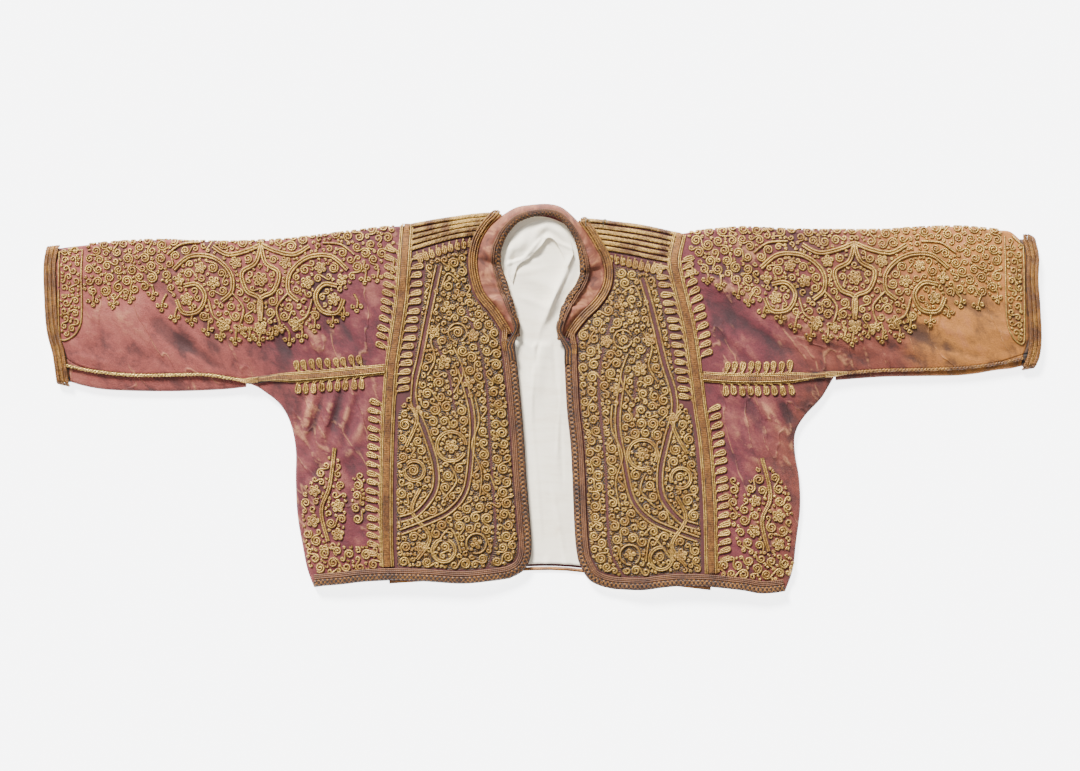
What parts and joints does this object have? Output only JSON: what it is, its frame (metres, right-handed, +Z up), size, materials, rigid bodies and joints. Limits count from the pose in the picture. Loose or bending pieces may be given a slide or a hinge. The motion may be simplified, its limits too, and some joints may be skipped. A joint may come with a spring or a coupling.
{
  "type": "embroidered velvet jacket",
  "caption": "Short velvet folk jacket with couched gilt cord embroidery, laid flat with its front up and its arms spread.",
  "frame": {"origin": "on the surface that the jacket lies on, under the middle of its outline", "axes": "+X along the spread arms toward the arm on the right as seen from above, +Y from the hem to the collar, +Z up off the surface"},
  "size_m": [1.1978, 0.4682, 0.0216],
  "materials": {
    "velvet": "plum cotton velvet, worn and faded",
    "rose_velvet": "the same velvet faded to dusty rose and tan",
    "embroidered_velvet": "velvet covered with couched gilt cord",
    "gilt_cord": "tarnished gilt thread twisted on a core",
    "braid": "plaited brown and gilt edging braid",
    "cotton": "plain cream cotton lining",
    "wire": "dulled wire"
  },
  "bodies": {
    "root": {"back_panel": "velvet", "hem_cord_back": "braid", "back_lining": "cotton", "neck_facing": "cotton", "collar": "rose_velvet", "collar_braid": "braid", "sleeve_left": "rose_velvet", "cuff_band_left": "braid", "side_panel_left": "velvet", "front_left": "embroidered_velvet", "yoke_left": "embroidered_velvet", "seam_braid_left": "gilt_cord", "underarm_braid_left": "gilt_cord", "sleeve_seam_cord_left": "gilt_cord", "edge_braid_left": "braid", "neck_braid_left": "braid", "hook_left": "wire", "sleeve_right": "rose_velvet", "cuff_band_right": "braid", "side_panel_right": "velvet", "front_right": "embroidered_velvet", "yoke_right": "embroidered_velvet", "seam_braid_right": "gilt_cord", "underarm_braid_right": "gilt_cord", "sleeve_seam_cord_right": "gilt_cord", "edge_braid_right": "braid", "neck_braid_right": "braid", "hook_right": "wire"}
  },
  "joints": []
}
